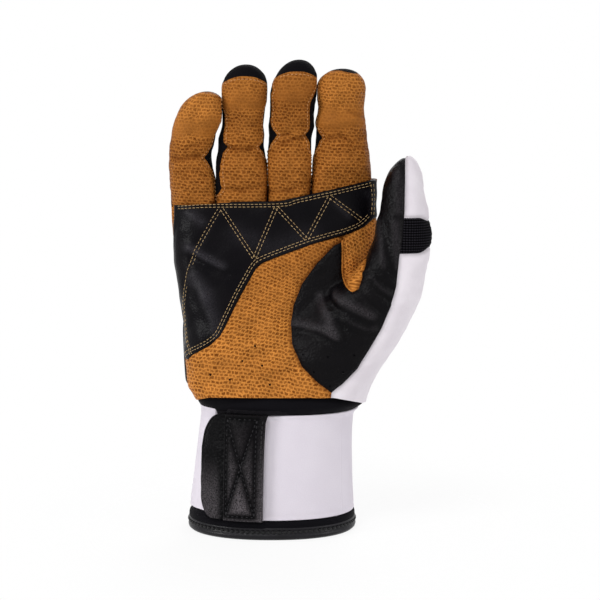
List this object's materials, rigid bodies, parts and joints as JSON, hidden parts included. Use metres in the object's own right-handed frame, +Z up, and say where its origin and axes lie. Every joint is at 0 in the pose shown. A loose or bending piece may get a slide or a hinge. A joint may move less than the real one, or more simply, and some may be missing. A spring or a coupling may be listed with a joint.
{
  "type": "batting glove",
  "caption": "Right-hand batting glove with sewn leather panels, bending fingers and thumb, and a long wrist cuff closed by an elastic strap with a hook tab.",
  "frame": {"origin": "on the surface it stands on, under the middle of the glove's box", "axes": "+Z up along the hand from the cuff to the fingertips, -Y out of the palm, +X towards the thumb"},
  "size_m": [0.129, 0.0642, 0.2346],
  "materials": {
    "tan_leather": "embossed, satin",
    "black_leather": "soft semi-gloss",
    "white_leather": "smooth satin",
    "stretch_knit": "matte knit",
    "rib_knit": "ribbed knit",
    "white_elastic": "woven elastic",
    "neoprene": "matte foam",
    "hook_and_loop": "napped"
  },
  "bodies": {
    "hand": {"palm_panel": "tan_leather", "palm_overlay": "black_leather", "back_panel": "white_leather", "thumb_web_gusset": "tan_leather", "thenar_panel": "black_leather", "thumb_base_panel": "white_leather", "thumb_rib_insert": "rib_knit", "wrist_sleeve": "neoprene", "hem_binding": "neoprene", "strap_band": "white_elastic", "loop_pad": "hook_and_loop", "little_knuckle_flex": "stretch_knit", "ring_knuckle_flex": "stretch_knit", "middle_knuckle_flex": "stretch_knit", "index_knuckle_flex": "stretch_knit"},
    "little_lower": {"little_front_lower": "tan_leather", "little_back_lower": "stretch_knit", "little_right_gusset_lower": "stretch_knit", "little_middle_flex": "stretch_knit"},
    "little_upper": {"little_front_upper": "tan_leather", "little_back_upper": "stretch_knit", "little_right_gusset_upper": "stretch_knit"},
    "ring_lower": {"ring_front_lower": "tan_leather", "ring_back_lower": "stretch_knit", "ring_left_gusset_lower": "stretch_knit", "ring_right_gusset_lower": "stretch_knit", "ring_middle_flex": "stretch_knit"},
    "ring_upper": {"ring_front_upper": "tan_leather", "ring_back_upper": "stretch_knit", "ring_left_gusset_upper": "stretch_knit", "ring_right_gusset_upper": "stretch_knit"},
    "middle_lower": {"middle_front_lower": "tan_leather", "middle_back_lower": "stretch_knit", "middle_left_gusset_lower": "stretch_knit", "middle_right_gusset_lower": "stretch_knit", "middle_middle_flex": "stretch_knit"},
    "middle_upper": {"middle_front_upper": "tan_leather", "middle_back_upper": "stretch_knit", "middle_left_gusset_upper": "stretch_knit", "middle_right_gusset_upper": "stretch_knit"},
    "index_lower": {"index_front_lower": "tan_leather", "index_back_lower": "stretch_knit", "index_left_gusset_lower": "stretch_knit", "index_middle_flex": "stretch_knit"},
    "index_upper": {"index_front_upper": "tan_leather", "index_back_upper": "stretch_knit", "index_left_gusset_upper": "stretch_knit"},
    "thumb": {"thumb_front": "black_leather", "thumb_back": "white_leather"},
    "strap": {"strap_flap": "white_elastic"},
    "tab": {"strap_tab": "black_leather", "tab_reinforcement": "black_leather", "hook_pad": "hook_and_loop"}
  },
  "joints": [
    {"name": "little_knuckle_bend", "type": "hinge", "parent": "hand", "child": "little_lower", "pos_m": [-0.0523, -0.01141, 0.1655], "axis": [1, 0, 0], "range_deg": [-10, 70], "stiffness_Nm_per_rad": 0.08, "deforming": ["little_knuckle_flex"]},
    {"name": "little_middle_bend", "type": "hinge", "parent": "little_lower", "child": "little_upper", "pos_m": [-0.0535, -0.01366, 0.1874], "axis": [1, 0, 0], "range_deg": [-10, 80], "stiffness_Nm_per_rad": 0.05, "deforming": ["little_middle_flex"]},
    {"name": "ring_knuckle_bend", "type": "hinge", "parent": "hand", "child": "ring_lower", "pos_m": [-0.0283, -0.01141, 0.1674], "axis": [1, 0, 0], "range_deg": [-10, 70], "stiffness_Nm_per_rad": 0.08, "deforming": ["ring_knuckle_flex"]},
    {"name": "ring_middle_bend", "type": "hinge", "parent": "ring_lower", "child": "ring_upper", "pos_m": [-0.0285, -0.01366, 0.1923], "axis": [1, 0, 0], "range_deg": [-10, 80], "stiffness_Nm_per_rad": 0.05, "deforming": ["ring_middle_flex"]},
    {"name": "middle_knuckle_bend", "type": "hinge", "parent": "hand", "child": "middle_lower", "pos_m": [-0.0048, -0.01141, 0.1704], "axis": [1, 0, 0], "range_deg": [-10, 70], "stiffness_Nm_per_rad": 0.08, "deforming": ["middle_knuckle_flex"]},
    {"name": "middle_middle_bend", "type": "hinge", "parent": "middle_lower", "child": "middle_upper", "pos_m": [-0.0039, -0.01366, 0.1972], "axis": [1, 0, 0], "range_deg": [-10, 80], "stiffness_Nm_per_rad": 0.05, "deforming": ["middle_middle_flex"]},
    {"name": "index_knuckle_bend", "type": "hinge", "parent": "hand", "child": "index_lower", "pos_m": [0.0213, -0.01141, 0.1772], "axis": [1, 0, 0], "range_deg": [-10, 70], "stiffness_Nm_per_rad": 0.08, "deforming": ["index_knuckle_flex"]},
    {"name": "index_middle_bend", "type": "hinge", "parent": "index_lower", "child": "index_upper", "pos_m": [0.021, -0.01366, 0.1967], "axis": [1, 0, 0], "range_deg": [-10, 80], "stiffness_Nm_per_rad": 0.05, "deforming": ["index_middle_flex"]},
    {"name": "thumb_bend", "type": "hinge", "parent": "hand", "child": "thumb", "pos_m": [0.04133, -0.02895, 0.151], "axis": [0.7071, -0.7071, 0], "range_deg": [-6, 30], "stiffness_Nm_per_rad": 0.08, "deforming": ["thumb_rib_insert"]},
    {"name": "strap_open", "type": "hinge", "parent": "hand", "child": "strap", "pos_m": [0.02233, -0.01565, 0.036], "axis": [0, 0, 1], "range_deg": [0, 100]},
    {"name": "tab_peel", "type": "hinge", "parent": "strap", "child": "tab", "pos_m": [-0.0165, -0.02909, 0.036], "axis": [0, 0, 1], "range_deg": [0, 70]}
  ]
}
